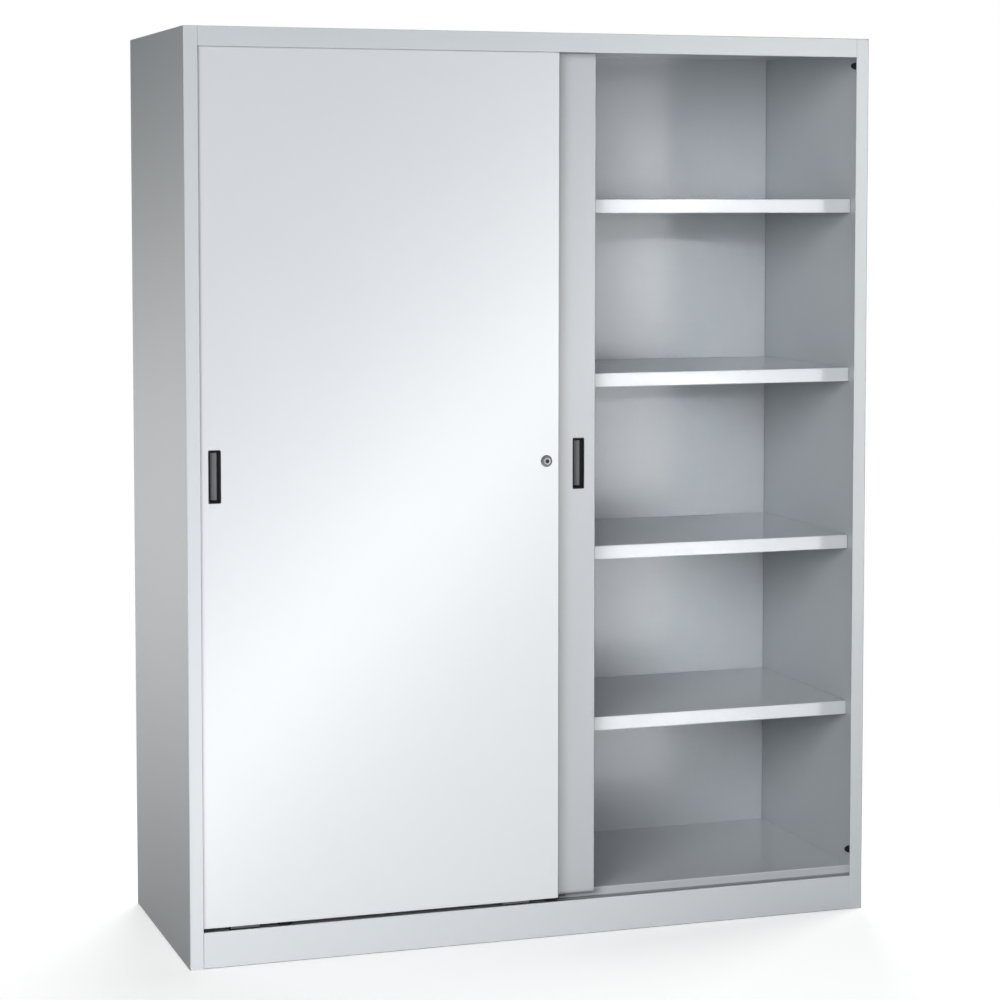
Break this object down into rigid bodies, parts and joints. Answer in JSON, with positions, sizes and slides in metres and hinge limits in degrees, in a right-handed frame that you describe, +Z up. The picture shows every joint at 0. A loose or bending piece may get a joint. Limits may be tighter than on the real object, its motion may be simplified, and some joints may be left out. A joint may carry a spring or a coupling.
{
  "type": "sliding door cabinet",
  "caption": "Tall sheet steel storage cabinet with two overlapping sliding doors on rollers, recessed grips, a push lock and fixed shelves.",
  "frame": {"origin": "on the ground under the middle of the cabinet's box", "axes": "+X to the right seen from the front, +Y from the front to the back, +Z up; the doors slide along X"},
  "size_m": [1.5, 0.55, 1.9],
  "materials": {
    "body_paint": "smooth light grey powder coat",
    "door_paint": "glossy light grey powder coat",
    "zinc_plate": "bright zinc plate",
    "track_metal": "drawn aluminium profile",
    "nylon": "natural nylon",
    "grip_plastic": "satin charcoal plastic",
    "rubber": "black rubber",
    "lock_metal": "satin nickel plate",
    "key_brass": "nickel silver key plug"
  },
  "bodies": {
    "carcass": {"left_side_panel": "body_paint", "right_side_panel": "body_paint", "left_front_stile": "body_paint", "right_front_stile": "body_paint", "top_panel": "body_paint", "top_fascia": "body_paint", "ceiling_panel": "body_paint", "back_panel": "body_paint", "plinth": "body_paint", "rear_base_rail": "body_paint", "floor_panel": "body_paint", "track_bed": "body_paint", "bottom_track": "track_metal", "top_guide_track": "track_metal", "shelf_1": "body_paint", "shelf_1_left_bearer": "zinc_plate", "shelf_1_right_bearer": "zinc_plate", "shelf_2": "body_paint", "shelf_2_left_bearer": "zinc_plate", "shelf_2_right_bearer": "zinc_plate", "shelf_3": "body_paint", "shelf_3_left_bearer": "zinc_plate", "shelf_3_right_bearer": "zinc_plate", "shelf_4": "body_paint", "shelf_4_left_bearer": "zinc_plate", "shelf_4_right_bearer": "zinc_plate", "front_door_left_buffer_upper": "rubber", "front_door_left_buffer_lower": "rubber", "front_door_right_buffer_upper": "rubber", "front_door_right_buffer_lower": "rubber", "rear_door_right_buffer_upper": "rubber", "rear_door_right_buffer_lower": "rubber", "rear_door_left_stop_lower": "rubber", "rear_door_left_stop_upper": "rubber"},
    "front_door": {"front_door_skin": "door_paint", "front_door_lining": "door_paint", "front_door_stiffener": "zinc_plate", "front_door_grip": "grip_plastic", "front_door_left_roller_bracket": "zinc_plate", "front_door_right_roller_bracket": "zinc_plate", "front_door_left_guide_block": "nylon", "front_door_right_guide_block": "nylon", "lock_housing": "lock_metal", "lock_nut": "zinc_plate", "lock_spring": "zinc_plate"},
    "rear_door": {"rear_door_skin": "door_paint", "rear_door_lining": "door_paint", "rear_door_stiffener": "zinc_plate", "rear_door_grip": "grip_plastic", "rear_door_left_roller_bracket": "zinc_plate", "rear_door_right_roller_bracket": "zinc_plate", "rear_door_left_guide_block": "nylon", "rear_door_right_guide_block": "nylon", "lock_strike": "zinc_plate"},
    "lock_plunger": {"lock_plunger": "lock_metal"},
    "key_plug": {"key_plug": "key_brass"},
    "front_door_left_roller": {"front_door_left_roller": "nylon"},
    "front_door_right_roller": {"front_door_right_roller": "nylon"},
    "rear_door_left_roller": {"rear_door_left_roller": "nylon"},
    "rear_door_right_roller": {"rear_door_right_roller": "nylon"}
  },
  "joints": [
    {"name": "front_door_slide", "type": "slide", "parent": "carcass", "child": "front_door", "axis": [1, 0, 0], "range_m": [0, 0.685]},
    {"name": "rear_door_slide", "type": "slide", "parent": "carcass", "child": "rear_door", "axis": [1, 0, 0], "range_m": [0, 0.594]},
    {"name": "lock_push", "type": "slide", "parent": "front_door", "child": "lock_plunger", "axis": [0, 1, 0], "range_m": [0, 0.006], "stiffness_N_per_m": 600, "deforming": ["lock_spring"]},
    {"name": "key_turn", "type": "hinge", "parent": "lock_plunger", "child": "key_plug", "pos_m": [0.016, -0.268, 1.01], "axis": [0, 1, 0], "range_deg": [0, 90]},
    {"name": "front_door_left_roller_turn", "type": "hinge", "parent": "front_door", "child": "front_door_left_roller", "pos_m": [-0.634, -0.258, 0.0818], "axis": [0, 1, 0], "range_deg": [0, 1965]},
    {"name": "front_door_right_roller_turn", "type": "hinge", "parent": "front_door", "child": "front_door_right_roller", "pos_m": [-0.051, -0.258, 0.0818], "axis": [0, 1, 0], "range_deg": [0, 1965]},
    {"name": "rear_door_left_roller_turn", "type": "hinge", "parent": "rear_door", "child": "rear_door_left_roller", "pos_m": [-0.543, -0.231, 0.0818], "axis": [0, 1, 0], "range_deg": [0, 1705]},
    {"name": "rear_door_right_roller_turn", "type": "hinge", "parent": "rear_door", "child": "rear_door_right_roller", "pos_m": [0.04, -0.231, 0.0818], "axis": [0, 1, 0], "range_deg": [0, 1705]}
  ],
  "couplings": [
    {"joint": "front_door_left_roller_turn", "follows": "front_door_slide", "rad_per_m": 50},
    {"joint": "front_door_right_roller_turn", "follows": "front_door_slide", "rad_per_m": 50},
    {"joint": "rear_door_left_roller_turn", "follows": "rear_door_slide", "rad_per_m": 50},
    {"joint": "rear_door_right_roller_turn", "follows": "rear_door_slide", "rad_per_m": 50}
  ]
}
